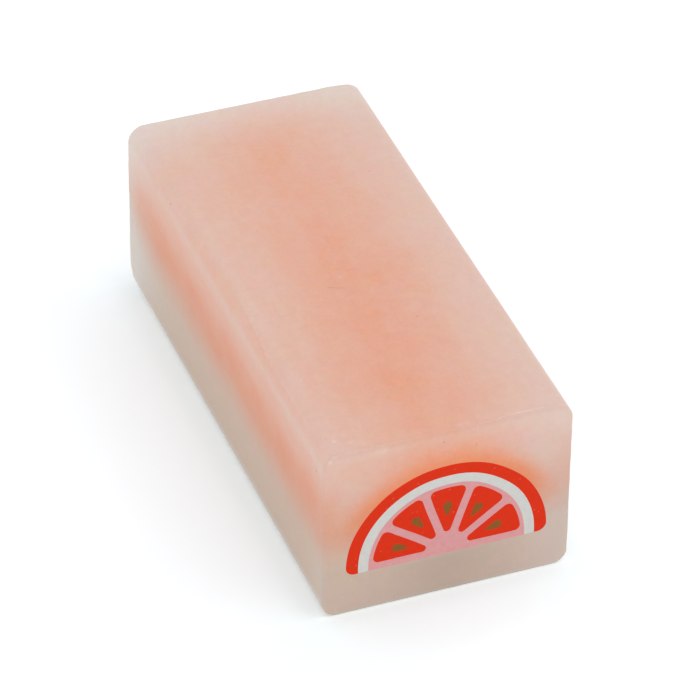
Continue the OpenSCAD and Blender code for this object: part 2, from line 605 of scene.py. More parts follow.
def prism(name, loops, shares, settings, outer_shape=None, rear_wear=None):
    """Closed mesh of a section along the whole block.

    The first loop is the outline and the others are holes. The walls follow the loops through rings at the
    given shares of the length, and the cut faces close both ends. outer_shape may move the outline's rings,
    and rear_wear gives how far the rear cut lies back.
    """
    inner, triangles = cut_pattern(loops, settings.cut_step)
    section = np.concatenate([*loops, inner])
    strayed = stray(section, settings.wobble)
    front = -HALF_LENGTH + cut_depth(section, settings.cut_relief, seed=3)
    rear = HALF_LENGTH - cut_depth(section, settings.cut_relief, seed=4)
    if rear_wear is not None:
        rear -= rear_wear(section)
    rim_size = sum(len(loop) for loop in loops)
    rings = []
    for share in shares:
        y = front[:rim_size] + (rear[:rim_size] - front[:rim_size]) * share
        rings.append(in_space(strayed[:rim_size], y))
    rings = np.array(rings)
    if outer_shape is not None:
        size = len(loops[0])
        rings[:, :size] = outer_shape(rings[:, :size])
    front_inner = in_space(strayed[rim_size:], front[rim_size:])
    rear_inner = in_space(strayed[rim_size:], rear[rim_size:])
    points = np.concatenate([rings.reshape(-1, 3), front_inner, rear_inner])
    faces = wall_faces(loops, len(shares)) + cut_faces(triangles, rim_size, len(shares), len(inner))
    piece = add_object(name, points.tolist(), faces)
    piece.data.set_sharp_from_angle(angle=SHARP_ANGLE)
    return piece


def put_in_frame(piece, node, material):
    """Gives a piece its material and lets it stand for its CAD node."""
    piece.data.materials.append(material)
    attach(piece, BODY)
    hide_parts(node)


def outward(ring):
    """Unit normals in X and Z of a closed ring that runs against the clock."""
    along = np.roll(ring, -1, axis=0) - np.roll(ring, 1, axis=0)
    normals = np.column_stack([along[:, 2], -along[:, 0]])
    return normals / np.linalg.norm(normals, axis=1)[:, None]


def moulded(settings):
    """Gives the block's outside its unevenness, its round cut edges and its crease."""
    broad_lump = 5.0 * MM
    fine_lump = 1.1 * MM
    fine_share = 0.12
    rounding_lump = 1.3 * MM
    rounding_change = 0.6
    crease_place = 1.15 * MM
    crease_sway = 0.12 * MM
    crease_wave = 5.5 * MM
    crease_width = 0.35 * MM

    def shape(rings):
        flat = rings.reshape(-1, 3)
        x, y, z = flat.T
        broad = cloud(flat * np.array([1.0, 0.6, 1.0]), broad_lump, seed=5)
        fine = cloud(flat, fine_lump, seed=6)
        sunk = settings.unevenness * (0.5 + 0.5 * broad + fine_share * (1.0 + fine))
        # The edge of a cut is a quarter round whose radius varies along it
        change = cloud(flat * np.array([1.0, 0.0, 1.0]), rounding_lump, seed=8)
        radius = settings.cut_rounding * (1.0 + rounding_change * change)
        from_cut = HALF_LENGTH - np.abs(y)
        share = np.clip(1.0 - from_cut / radius, 0.0, 1.0)
        sunk += radius * (1.0 - np.sqrt(1.0 - share ** 2))
        # The crease sways along the round of the upper left edge and fades out towards the rear
        run = x + HALF_WIDTH + z - (HEIGHT - settings.upper_edge_radius)
        across = (run - crease_place - crease_sway * np.sin(y / crease_wave)) / crease_width
        on_edge = smooth_step(-x, HALF_WIDTH - 3 * MM, HALF_WIDTH - 2 * MM)
        fading = 1.0 - smooth_step(y, HALF_LENGTH - 20 * MM, HALF_LENGTH - 11 * MM)
        sunk += settings.crease_depth * np.exp(-across ** 2) * on_edge * fading
        moved = rings.copy()
        for ring, depth in zip(moved, sunk.reshape(rings.shape[:2])):
            normals = outward(ring)
            ring[:, 0] -= normals[:, 0] * depth
            ring[:, 2] -= normals[:, 1] * depth
        return moved
    return shape


def rim_run(outline, start, end, count):
    """Places on the block's outline, by their distance from the middle of the top, positive to the left."""
    top = int(np.argmin(np.abs(outline[:, 0]) + (HEIGHT - outline[:, 1])))
    loop = np.roll(outline, -top, axis=0)
    loop = np.vstack([loop, loop[:1]])
    travelled = np.concatenate([[0.0], np.cumsum(np.hypot(*np.diff(loop, axis=0).T))])
    wanted = np.linspace(start, end, count) % travelled[-1]
    return np.column_stack([np.interp(wanted, travelled, loop[:, i]) for i in range(2)])


def burr_thread(outline, full_radius, burr, seed):
    """Path of one thread along a cut's edge, and its radius at each place."""
    cut, start, end, share, bow = burr
    run = abs(end - start)
    count = max(8, round(run / BURR_STEP))
    section = rim_run(outline, start * MM, end * MM, count)
    flat = in_space(section, seed * 0.01)
    thickness = 1.0 + BURR_CHANGE * cloud(flat, 0.6 * MM, 20 + seed)
    along = np.linspace(0.0, 1.0, count)
    taper = np.sin(math.pi * along) ** 0.5
    knob = KNOB_SIZE * np.exp(-(along * run / KNOB_LENGTH) ** 2)
    radii = full_radius * share * (thickness * np.clip(taper, BURR_END_SHARE, 1.0) + knob)
    # A thread lies near the edge, half sunk in the skin behind the cut's plane
    room = 1.1 * radii
    inward = np.array([0.0, HEIGHT / 2]) - section
    inward /= np.abs(inward).max(axis=1)[:, None]
    placed = section + inward * room[:, None]
    sway = 0.02 * MM * cloud(flat, 0.9 * MM, 30 + seed)
    behind = 2.5 * full_radius + bow * MM * taper + sway
    y = cut * (HALF_LENGTH - behind)
    return in_space(placed, y), radii


def thread_mesh(name, paths, sides=8):
    """Round threads that taper to both ends, each along a path of places with a radius at each place."""
    points = []
    faces = []
    for path, radii in paths:
        first = len(points)
        ahead = np.gradient(path, axis=0)
        ahead /= np.linalg.norm(ahead, axis=1)[:, None]
        across = np.cross(ahead, (0.0, 1.0, 0.0))
        across /= np.linalg.norm(across, axis=1)[:, None]
        upward = np.cross(across, ahead)
        for middle, radius, right, up in zip(path, radii, across, upward):
            for i in range(sides):
                angle = 2 * math.pi * i / sides
                points.append(middle + radius * (math.cos(angle) * right + math.sin(angle) * up))
        for ring in range(len(path) - 1):
            for i in range(sides):
                here = first + ring * sides
                j = (i + 1) % sides
                faces.append((here + i, here + sides + i, here + sides + j, here + j))
        last = first + (len(path) - 1) * sides
        faces.append(tuple(range(first, first + sides)))
        faces.append(tuple(range(last + sides - 1, last - 1, -1)))
    return add_object(name, [tuple(point) for point in points], faces)


# Shader trees

class Value:
    """A number that a node tree works out at each point. A sum with it adds a Math node and is one too."""

    def __init__(self, sketch, socket):
        self.sketch = sketch
        self.socket = socket

    def __add__(self, other):
        return self.sketch.calculate("ADD", self, other)

    def __sub__(self, other):
        return self.sketch.calculate("SUBTRACT", self, other)

    def __rsub__(self, other):
        return self.sketch.calculate("SUBTRACT", other, self)

    def __mul__(self, other):
        return self.sketch.calculate("MULTIPLY", self, other)

    def __truediv__(self, other):
        return self.sketch.calculate("DIVIDE", self, other)

    def __neg__(self):
        return self * -1.0

    def __abs__(self):
        return self.sketch.calculate("ABSOLUTE", self)


class Sketch:
    """A node tree in the making. Each call adds nodes and gives what the next call takes."""

    def __init__(self, tree):
        self.tree = tree

    def add(self, kind, **settings):
        """Adds a node with these settings."""
        node = self.tree.nodes.new(kind)
        for name, value in settings.items():
            setattr(node, name, value)
        return node

    def feed(self, socket, value):
        """Links a socket to a value or to another socket, or sets its own value."""
        if isinstance(value, Value):
            value = value.socket
        if isinstance(value, bpy.types.NodeSocket):
            self.tree.links.new(value, socket)
        else:
            socket.default_value = value

    def calculate(self, operation, *values, clamp=False):
        """A Math node."""
        node = self.add("ShaderNodeMath", operation=operation, use_clamp=clamp)
        for socket, value in zip(node.inputs, values):
            self.feed(socket, value)
        return Value(self, node.outputs[0])

    def larger(self, first, second):
        """The larger of two numbers."""
        return self.calculate("MAXIMUM", first, second)

    def smaller(self, first, second):
        """The smaller of two numbers."""
        return self.calculate("MINIMUM", first, second)

    def root(self, value):
        """The square root of a number."""
        return self.calculate("SQRT", value)

    def rise(self, value, low, high, start=0.0, end=1.0):
        """A soft step from start at low to end at high."""
        node = self.add("ShaderNodeMapRange", interpolation_type="SMOOTHSTEP")
        for socket, number in zip(node.inputs, (value, low, high, start, end)):
            self.feed(socket, number)
        return Value(self, node.outputs[0])

    def bell(self, value, centre, width):
        """1 at the centre, fading to both sides over a width."""
        share = (value - centre) / width
        return self.calculate("EXPONENT", share * share * -0.5)

    def fade(self, distance, reach):
        """1 at no distance, fading away over a reach."""
        return self.calculate("EXPONENT", distance / -reach)

    def blend(self, factor, first, second, blend_type="MIX"):
        """A colour Mix node."""
        node = self.add("ShaderNodeMix", data_type="RGBA", blend_type=blend_type)
        self.feed(node.inputs[0], factor)
        self.feed(node.inputs[6], first)
        self.feed(node.inputs[7], second)
        return node.outputs[2]

    def scaled(self, vector, scale):
        """A vector times a number, or times another vector."""
        operation = "MULTIPLY" if isinstance(scale, tuple) else "SCALE"
        node = self.add("ShaderNodeVectorMath", operation=operation)
        self.feed(node.inputs[0], vector)
        self.feed(node.inputs[1] if operation == "MULTIPLY" else node.inputs["Scale"], scale)
        return node.outputs[0]

    def split(self, vector):
        """The three parts of a vector."""
        node = self.add("ShaderNodeSeparateXYZ")
        self.feed(node.inputs[0], vector)
        return [Value(self, part) for part in node.outputs]

    def distance(self, place, spot):
        """Distance of a place from one spot."""
        node = self.add("ShaderNodeVectorMath", operation="DISTANCE")
        self.feed(node.inputs[0], place)
        self.feed(node.inputs[1], spot)
        return Value(self, node.outputs["Value"])

    def place(self):
        """Place on the piece in millimetres."""
        coordinates = self.add("ShaderNodeTexCoord")
        return self.scaled(coordinates.outputs["Object"], 1.0 / MM)

    def cloud(self, place, scale, detail=2.0, roughness=0.5):
        """Noise about 0.5, with this many lumps to the millimetre."""
        node = self.add("ShaderNodeTexNoise")
        self.feed(node.inputs["Vector"], place)
        self.feed(node.inputs["Scale"], scale)
        self.feed(node.inputs["Detail"], detail)
        self.feed(node.inputs["Roughness"], roughness)
        return Value(self, node.outputs[0])

    def named(self, sockets):
        """Values of a node's outputs, by their names."""
        return {socket.name: Value(self, socket) for socket in sockets}


def group_of(name, inputs, outputs):
    """A new node group, its sketch, its input values by name and the sockets of its output."""
    group = bpy.data.node_groups.new(name, "ShaderNodeTree")
    for label, default in inputs.items():
        socket = group.interface.new_socket(label, in_out="INPUT", socket_type="NodeSocketFloat")
        socket.default_value = default
    for label in outputs:
        group.interface.new_socket(label, in_out="OUTPUT", socket_type="NodeSocketFloat")
    sketch = Sketch(group)
    given = sketch.named(sketch.add("NodeGroupInput").outputs)
    result = sketch.add("NodeGroupOutput").inputs
    return group, sketch, given, result


class Spot:
    """Where a point of the rubber lies in the block, in millimetres."""

    def __init__(self, sketch):
        self.place = sketch.place()
        self.x, self.y, self.z = sketch.split(self.place)
        self.aside = abs(self.x)
        self.from_front = self.y + CUT_Y
        self.from_rear = CUT_Y - self.y


def strand_glow(sketch, spot, given):
    """Glow of the strands: a faint flush all over, and the core through the top and the sides."""
    drift = sketch.cloud(sketch.scaled(spot.place, (0.0, 1.0, 0.0)), 0.16) - 0.5
    from_left = spot.x * 0.007
    flush = given["Flush"] - from_left
    flush *= sketch.rise(spot.z, 4.0, 9.5) * sketch.rise(spot.from_rear, -0.5, 9.0)

    # Through the top the core shows as a broad band, a little to the left near the front
    band_x = sketch.rise(spot.from_front, 6.0, 24.0, -0.9, 0.3) + drift * 2.4
    top = sketch.bell(spot.x, band_x, sketch.rise(spot.x, -1.0, 1.0, 4.8, 5.4))
    top *= sketch.rise(spot.z, 11.5, 15.0) * given["Top"]
    top *= sketch.rise(spot.from_front, 18.0, 45.0, 1.0, 0.75) * sketch.rise(spot.from_rear, -5.0, 6.5)

    # Through the sides it shows as a narrower band
    band_z = drift * 1.5 + 10.6
    side = sketch.bell(spot.z, band_z, 2.22) * sketch.rise(spot.aside, 8.5, SIDE_X)
    side *= given["Side"] - from_left
    side *= sketch.rise(spot.from_rear, 0.0, 3.5, 0.35, 1.0)
    side *= sketch.rise(spot.from_front, 1.0, 8.0, 1.1, 1.0)

    glow = (flush + top + side) * sketch.rise(spot.from_front, -3.0, 8.0, 0.84, 1.0)
    lumps = sketch.cloud(sketch.scaled(spot.place, (1.0, 0.6, 1.0)), 0.35, 3.0)
    return glow * sketch.rise(lumps, 0.25, 0.75, 0.92, 1.08)


def slice_halo(sketch, spot, strength):
    """Red light that hugs the outline of the slice, most over its dome."""
    above = sketch.larger(spot.z - FAN_Z / MM, 0.0)
    radius = sketch.root(spot.x * spot.x + above * above)
    outside = sketch.larger(radius - SLICE_RADIUS / MM, 0.0)
    halo = sketch.bell(outside, 0.0, sketch.rise(spot.x, -10.0, -5.0, 1.4, 1.13))
    halo *= sketch.rise(spot.z, 5.0, 10.5) * strength
    return halo * sketch.rise(spot.aside, 9.8, SIDE_X, 1.0, 0.6)


def light_share(sketch, spot, halo, behind_front, near_rear):
    """Share of the light that reaches a point: less in the lower half, and least under the slice."""
    under = sketch.bell(spot.x, 0.0, 3.4) * sketch.rise(spot.z, 3.4, 4.6, 0.15, 0.0)
    under *= sketch.rise(spot.z, 0.5, 2.2, 0.75, 0.95)
    light = sketch.rise(spot.z, 4.5, 15.5, 0.82, 0.99) * (1.0 - under)
    light *= sketch.rise(spot.z, 0.8, 1.9, sketch.rise(spot.aside, 9.8, 10.6, 1.0, 1.035), 1.0)
    # The right edge, the front cut and the flat top are a little darker, and the halo is lighter
    right_edge = sketch.rise(spot.x, 9.2, 10.4, 0.0, 0.025) * behind_front
    front_low = sketch.rise(spot.x, 5.0, 9.5, 0.034, -0.01) * sketch.rise(spot.z, 4.0, 6.5, 1.0, 0.0)
    front_cut = (front_low + 0.028) * (1.0 - behind_front)
    light *= 1.0 - (right_edge + front_cut)
    light *= sketch.rise(spot.z, TOP_Z - 0.8, TOP_Z - 0.05, 1.0, 0.955)
    light *= halo * 0.06 + 1.0
    # More light comes in through the rear cut, and less through the left side
    low_down = sketch.rise(spot.z, 5.0, 9.0, 1.0, 0.0)
    light *= low_down * (near_rear * 0.075 + sketch.rise(spot.from_rear, 4.0, 10.0, 0.025, 0.0)) + 1.0
    light *= sketch.rise(spot.from_rear, 1.0, 5.0, sketch.rise(spot.z, 2.0, 5.0, 1.045, 1.018), 1.0)
    left_side = sketch.rise(spot.x, -SIDE_X, -9.5, 1.0, 0.0) * sketch.rise(spot.z, 4.0, 9.0, 0.012, 0.0)
    return light * (1.0 - left_side * sketch.rise(spot.from_rear, 6.0, 12.0))


def pale_light_share(sketch, spot, behind_front, near_rear):
    """Share of painted pale light that comes in through nearby faces: at the rear end, most low down, along
    the foot and beside the front cut.
    """
    at_rear = sketch.rise(spot.z, 7.5, 10.5, 1.1, -0.1) + sketch.rise(spot.z, 11.0, 14.0, 0.3, 0.45)
    side_foot = sketch.rise(spot.z, 1.2, 2.0, 0.9, 0.0) * sketch.rise(spot.aside, 9.3, 10.8) * behind_front
    front_foot = sketch.rise(spot.z, 0.1, 0.5, 0.45, 0.0) * (1.0 - behind_front)
    beside_cut = sketch.rise(spot.from_front, 0.5, 5.0, 0.25, 0.0) * sketch.rise(spot.z, 5.0, 8.0, 1.0, 0.0)
    beside_cut *= sketch.rise(spot.aside, SIDE_X - 0.5, SIDE_X - 0.1)
    return sketch.smaller(sketch.larger(near_rear * at_rear, side_foot + front_foot + beside_cut), 1.0)


def core_glow_group():
    """How the strands show through the milky rubber, and how much light reaches each part of it.

    Glow is the share of the core's painted glow, Light the share of painted light, Low the painted tan shade
    of the lower half and Pale Light the painted pale light that comes in through nearby faces.
    """
    name = "Core Glow"
    if name in bpy.data.node_groups:
        return bpy.data.node_groups[name]
    inputs = {"Flush": 0.24, "Top": 0.43, "Side": 0.338, "Halo": 1.0}
    group, sketch, given, result = group_of(name, inputs, ("Glow", "Light", "Low", "Pale Light"))
    spot = Spot(sketch)
    halo = slice_halo(sketch, spot, given["Halo"])
    glow = strand_glow(sketch, spot, given)
    glow += halo * (1.0 - glow)
    behind_front = sketch.rise(spot.from_front, 0.15, 0.5)
    near_rear = sketch.fade(spot.from_rear, sketch.rise(spot.z, 7.5, 10.5, 5.5, 2.0))
    # Painted shade: the tan tone of the lower half, where less light comes
    low = sketch.rise(spot.z, 4.0, 12.0, 1.0, 0.0) * sketch.rise(spot.x, 3.0, SIDE_X, 0.8, 0.25)
    low *= sketch.rise(spot.x, -SIDE_X, -9.5, 1.25, 1.0)
    sketch.feed(result["Glow"], sketch.smaller(glow, 1.0))
    sketch.feed(result["Light"], light_share(sketch, spot, halo, behind_front, near_rear))
    sketch.feed(result["Low"], low)
    sketch.feed(result["Pale Light"], pale_light_share(sketch, spot, behind_front, near_rear))
    return group


def grain_group():
    """Fine unevenness of rubber: soft mottles for the colour and a grain for the surface."""
    name = "Rubber Grain"
    if name in bpy.data.node_groups:
        return bpy.data.node_groups[name]
    inputs = {"Mottle Scale": 1.0, "Grain Scale": 9.0}
    group, sketch, given, result = group_of(name, inputs, ("Mottle", "Height"))
    place = sketch.place()
    sketch.feed(result["Mottle"], sketch.cloud(place, given["Mottle Scale"], 4.0, 0.6))
    grain = sketch.cloud(place, given["Grain Scale"], 3.0, 0.6)
    swell = sketch.cloud(place, 1.3, 2.0)
    sketch.feed(result["Height"], grain * 0.5 + swell * 0.9)
    return group


def speck_group():
    """Specks in or on the rubber: a few cells of a pattern hold a dot each."""
    name = "Specks"
    if name in bpy.data.node_groups:
        return bpy.data.node_groups[name]
    inputs = {"Cells": 0.6, "Share": 0.1, "Size": 0.07}
    group, sketch, given, result = group_of(name, inputs, ("Mask",))
    place = sketch.place()
    cells = sketch.add("ShaderNodeTexVoronoi", feature="F1")
    sketch.feed(cells.inputs["Vector"], place)
    sketch.feed(cells.inputs["Scale"], given["Cells"])
    chance = sketch.split(cells.outputs["Color"])[0]
    chosen = sketch.calculate("LESS_THAN", chance, given["Share"])
    distance = sketch.calculate("DIVIDE", cells.outputs["Distance"], given["Cells"])
    dot = sketch.rise(distance, given["Size"] * 0.5, given["Size"], 1.0, 0.0)
    sketch.feed(result["Mask"], chosen * dot)
    return group


def place_group(sketch, group, **values):
    """Puts a node group into a material with its own values."""
    node = sketch.add("ShaderNodeGroup", node_tree=group)
    for label, value in values.items():
        sketch.feed(node.inputs[label.replace("_", " ")], value)
    return sketch.named(node.outputs)


def empty_nodes(owner):
    """A sketch on the emptied node tree of a material or a world."""
    owner.use_nodes = True
    owner.node_tree.nodes.clear()
    return Sketch(owner.node_tree)


def new_material(name):
    """An empty material with a Principled shader on its output."""
    material = bpy.data.materials.new(name)
    sketch = empty_nodes(material)
    shader = sketch.add("ShaderNodeBsdfPrincipled")
    output = sketch.add("ShaderNodeOutputMaterial")
    sketch.feed(output.inputs["Surface"], shader.outputs[0])
    return material, sketch, shader.inputs


def bump(sketch, height, distance, strength=1.0):
    """Normal of a surface with fine relief, where distance is the relief's depth."""
    node = sketch.add("ShaderNodeBump")
    sketch.feed(node.inputs["Strength"], strength)
    sketch.feed(node.inputs["Distance"], distance)
    sketch.feed(node.inputs["Height"], height)
    return node.outputs["Normal"]


def inset(sketch, spot, radius):
    """Distance from a point of the section to the block's outline."""
    middle_z = TOP_Z / 2
    over_x = spot.aside - (SIDE_X - radius)
    over_z = abs(spot.z - middle_z) - (middle_z - radius)
    corner_x = sketch.larger(over_x, 0.0)
    corner_z = sketch.larger(over_z, 0.0)
    corner = sketch.root(corner_x * corner_x + corner_z * corner_z)
    flat = sketch.smaller(sketch.larger(over_x, over_z), 0.0)
    return radius - (corner + flat)


def upper_left_edge(sketch, spot, from_cut, radius):
    """Painted shade and highlights along the upper left edge, on its round and in its crease: how they
    change the glow, and the light.
    """
    from_front = spot.from_front
    length_only = sketch.scaled(spot.place, (0.0, 1.0, 0.0))
    wander = sketch.cloud(length_only, 0.35, 3.0) - 0.5
    jitter = sketch.cloud(length_only, 1.6, 3.0, 0.6) - 0.5
    # How far a point lies round the edge, from where the side starts to turn
    run = spot.x + spot.z - (TOP_Z - SIDE_X - radius) + wander * 0.5
    # A painted highlight where the side starts to turn
    pale = sketch.bell(run, 0.0, sketch.rise(from_front, 3.0, 9.0, 0.75, 0.5))
    pale *= sketch.rise(from_front, 4.0, 14.0, -0.15, -0.07)
    # Painted shade in the crease, over the crease that the geometry has
    crease = sketch.bell(run, 1.1, 0.35) * sketch.rise(from_front, 28.0, 38.0, 0.045, 0.0)
    # A crisp dark line of painted shade with a pale painted highlight above it, as on a fine ridge, runs
    # down into the crease, and it wavers and breaks off
    fine_run = run + jitter * 0.8
    line_run = sketch.rise(from_front, 12.0, 23.0, 1.2, 2.0)
    line = sketch.bell(fine_run, line_run, 0.12) * sketch.rise(wander, -0.12, 0.12, 0.02, 0.1)
    bits = sketch.rise(sketch.cloud(length_only, 2.2), 0.4, 0.6, -0.02, -0.13)
    ridge_highlight = sketch.bell(fine_run, line_run + 0.35, 0.17) * bits
    crisp = (line + ridge_highlight) * sketch.rise(from_front, 20.0, 25.0, 1.0, 0.0)
    crisp *= sketch.rise(from_front, 5.0, 12.0, 0.4, 1.0)
    crease_shade_and_highlight = (crease + crisp) * sketch.rise(from_front, 1.0, 8.0, 0.3, 1.0)
    # Painted light: paler where the round meets the top
    onto_top = sketch.bell(run, 2.7, 0.55) * sketch.rise(from_front, 30.0, 42.0, -0.05, -0.02)
    # The round's painted light and shade: warmer along the middle of the block and paler towards both cuts
    on_round = sketch.bell(run, 1.65, 0.65)
    warmth = sketch.rise(from_front, 8.0, 14.0, -0.035, 0.035)
    warmth = sketch.rise(from_front, 30.0, 44.0, warmth, -0.055)
    on_edge = sketch.rise(spot.x, 3.5 - SIDE_X, 6.0 - SIDE_X, 1.0, 0.0) * sketch.rise(from_cut, 0.05, 0.5)
    tones = (pale + crease_shade_and_highlight + onto_top + on_round * warmth) * on_edge
    # The round also gets a little painted light
    return tones, on_round * on_edge * 0.028


def rim_tones(sketch, spot, from_cut, radius):
    """Lines round the rims of both cuts, where their faces meet the block's skin: the change of the glow."""
    rim = sketch.larger(from_cut, inset(sketch, spot, radius))
    line_tone = sketch.rise(spot.z, 14.5, 16.0, -0.04, sketch.rise(spot.x, -7.5, -1.0, -0.035, 0.02))
    line = sketch.bell(rim, 0.0, 0.14) * line_tone
    inner = sketch.bell(rim, 0.7, 0.6) * sketch.rise(spot.z, 13.0, 16.0, -0.02, -0.09)
    return line + inner * sketch.rise(from_cut, 0.05, 0.13, 1.0, 0.2)


def dust_at(sketch, place, spots):
    """Dark specks of dust at these places on the skin, in millimetres, each with its radius."""
    dust = None
    for spot, radius in spots:
        dot = sketch.rise(sketch.distance(place, spot), 0.5 * radius, 1.3 * radius, 1.0, 0.0)
        dust = dot if dust is None else dust + dot
    return dust


def smudges_at(sketch, place, spots):
    """Soft pale smudges at these places, in millimetres, each with its radius and its share."""
    smudges = None
    for spot, radius, share in spots:
        blot = sketch.bell(sketch.distance(place, spot), 0.0, radius) * share
        smudges = blot if smudges is None else smudges + blot
    return smudges


def marks_group():
    """Marks of handling on the top: Pale is scuffs and streaks, Dark is one hair-fine mark."""
    name = "Handling Marks"
    if name in bpy.data.node_groups:
        return bpy.data.node_groups[name]
    inputs = {"Scuff Share": 0.62, "Hair X": -1.6, "Hair Y": -3.6}
    group, sketch, given, result = group_of(name, inputs, ("Pale", "Dark"))
    place = sketch.place()
    x, y, z = sketch.split(place)
    on_top = sketch.rise(z, TOP_Z - 0.6, TOP_Z - 0.1)
    wander = sketch.cloud(sketch.scaled(place, (0.5, 0.5, 0.0)), 1.0, 3.0) - 0.5
    # Short scuffs run across the block, most of them near its rear and its front end
    across = sketch.scaled(place, (0.35, 1.7, 1.0))
    scuffs = sketch.rise(sketch.cloud(across, 1.0, 4.0, 0.6), given["Scuff Share"], 0.78)
    patches = sketch.rise(sketch.cloud(place, 0.12, 2.0), 0.45, 0.6)
    ends = sketch.rise(abs(y), CUT_Y - 16.0, CUT_Y - 8.0, 0.25, 1.0)
    scuffs *= patches * ends
    # A small pale spot lies beside the hair mark
    along = x - given["Hair X"]
    off = y - given["Hair Y"]
    spot = sketch.bell(along, 0.55, 0.25) * sketch.bell(off, 1.42, 0.12)
    pale = scuffs + spot * 1.2
    sketch.feed(result["Pale"], pale * on_top)
    bend = along * -0.3 + wander * 0.7
    hair = sketch.bell(off - bend, 0.0, 0.07)
    hair *= sketch.rise(along, -1.2, -0.9) * sketch.rise(along, -0.6, 1.5, 1.0, 0.0)
    sketch.feed(result["Dark"], hair * on_top)
    return group


def milky_rubber(settings, colours):
    """Translucent body rubber: the core's painted glow, painted light and shade with paler edges, mottles,
    marks, specks and a satin skin.
    """
    material, sketch, shader = new_material("Milky Rubber")
    spot = Spot(sketch)
    place = spot.place
    core = place_group(sketch, core_glow_group())
    grain = place_group(sketch, grain_group())
    marks = place_group(sketch, marks_group())
    # Painted shade: the milk turns tan low down, where less light comes
    milk = sketch.blend(core["Low"], opaque(colours.milk), opaque(colours.low_milk))
    # Painted light: paler milk where light comes in near the rear cut, along the foot and beside the front
    # cut
    milk = sketch.blend(core["Pale Light"], milk, opaque(colours.pale_light_end))
    # The glow is uneven: painted light and shade along the edges, long streaks from the die, a fine net,
    # cloudy lumps and scuffs
    from_cut = CUT_Y - abs(spot.y)
    radius = settings.upper_edge_radius / MM
    edge_tones, edge_light = upper_left_edge(sketch, spot, from_cut, radius)
    streaks = sketch.cloud(sketch.scaled(place, (1.0, 0.07, 1.0)), 0.8, 3.0) - 0.5
    net = sketch.cloud(place, 2.6, 3.0, 0.75) - 0.5
    lumps = sketch.cloud(place, 1.15, 2.0, 0.6) - 0.5
    glow = core["Glow"] + edge_tones + rim_tones(sketch, spot, from_cut, radius)
    glow += streaks * 0.12 + net * 0.25 + lumps * 0.13 - marks["Pale"] * 0.13
    glow = sketch.calculate("MULTIPLY", glow, 1.0, clamp=True)
    base = sketch.blend(glow, milk, opaque(colours.core_glow))
    patches = sketch.rise(sketch.cloud(place, 0.45, 3.0, 0.6), 0.3, 0.7)
    lean = sketch.blend(patches, opaque(PINK_LEAN), opaque(TAN_LEAN))
    base = sketch.blend(1.0, base, lean, "MULTIPLY")
    # The front cut catches a little more light along its upper edge
    on_front = 1.0 - sketch.rise(spot.from_front, 0.1, 0.4)
    catch = on_front * sketch.rise(spot.x, -9.0, -3.0, 0.018, 0.03) * sketch.rise(spot.z, 13.5, 15.5)
    shade = core["Light"] * sketch.rise(grain["Mottle"], 0.2, 0.8, 0.975, 1.025)
    base = sketch.scaled(base, shade * (catch + edge_light + 1.0))
    flecks = place_group(sketch, speck_group(), Cells=1.3, Share=0.3, Size=0.1)
    base = sketch.blend(flecks["Mask"] * 0.12, base, opaque(PALE_FLECK))
    base = sketch.blend(smudges_at(sketch, place, SMUDGES) * 0.6, base, opaque(colours.burr))
    dust = dust_at(sketch, place, DUST) + marks["Dark"] * 0.5
    base = sketch.blend(dust * 0.35, base, opaque(colours.dust))
    sketch.feed(shader["Base Color"], base)
    sketch.feed(shader["Roughness"], sketch.rise(grain["Mottle"], 0.2, 0.8, 0.45, 0.56))
    sketch.feed(shader["Normal"], bump(sketch, grain["Height"], 0.012 * MM))
    shader["Specular IOR Level"].default_value = 0.25
    return material


def burr_rubber(colours):
    """Thin threads of the body rubber, paler because so little of it is there."""
    material, sketch, shader = new_material("Burr Rubber")
    grain = place_group(sketch, grain_group(), Mottle_Scale=2.5, Grain_Scale=14.0)
    shade = sketch.rise(grain["Mottle"], 0.3, 0.7, 0.86, 1.0)
    sketch.feed(shader["Base Color"], sketch.scaled(tuple(colours.burr), shade))
    sketch.feed(shader["Normal"], bump(sketch, grain["Height"], 0.004 * MM))
    shader["Roughness"].default_value = 0.45
    shader["Specular IOR Level"].default_value = 0.3
    return material


def cut_rubber(name, body_colour, fleck_colour, fleck_amount, roughness):
    """Opaque strand rubber, matt where the blade went through, with fine flecks of pigment."""
    material, sketch, shader = new_material(name)
    grain = place_group(sketch, grain_group(), Mottle_Scale=1.8, Grain_Scale=12.0)
    shade = sketch.rise(grain["Mottle"], 0.2, 0.8, 0.95, 1.05)
    base = sketch.scaled(tuple(body_colour), shade)
    flecks = place_group(sketch, speck_group(), Cells=2.2, Share=0.3, Size=0.09)
    base = sketch.blend(flecks["Mask"] * fleck_amount, base, opaque(fleck_colour))
    sketch.feed(shader["Base Color"], base)
    sketch.feed(shader["Roughness"], sketch.rise(grain["Mottle"], 0.2, 0.8, roughness, roughness + 0.1))
    sketch.feed(shader["Normal"], bump(sketch, grain["Height"], 0.01 * MM))
    shader["Specular IOR Level"].default_value = 0.12
    return material


def red_rubber():
    """Red of the peel and the flesh, made once."""
    name = "Red Rubber"
    if name in bpy.data.materials:
        return bpy.data.materials[name]
    colours = bpy.context.scene.eraser_colours
    return cut_rubber(name, colours.red, screen(235, 120, 90), 0.5, 0.5)


# Operators

class ERASER_OT_clear_block(bpy.types.Operator):
    """Build the milky block with the slice's outline running through it"""

    bl_idname = "eraser.clear_block"
    bl_label = "Milky Block"

    def execute(self, context):
        block = context.scene.eraser_block
        picture = context.scene.eraser_picture
        loops = [
            block_outline(block.upper_edge_radius, block.lower_edge_radius, block.wall_step),
            slice_outline(picture.slice_corner_radius, picture.outline_step),
        ]
        shares = stations(block.ring_step, [distance * MM for distance in NEAR_CUT])
        piece = prism("block", loops, shares, picture, moulded(block), worn(block))
        put_in_frame(piece, "clear_block", milky_rubber(block, context.scene.eraser_colours))
        return {"FINISHED"}


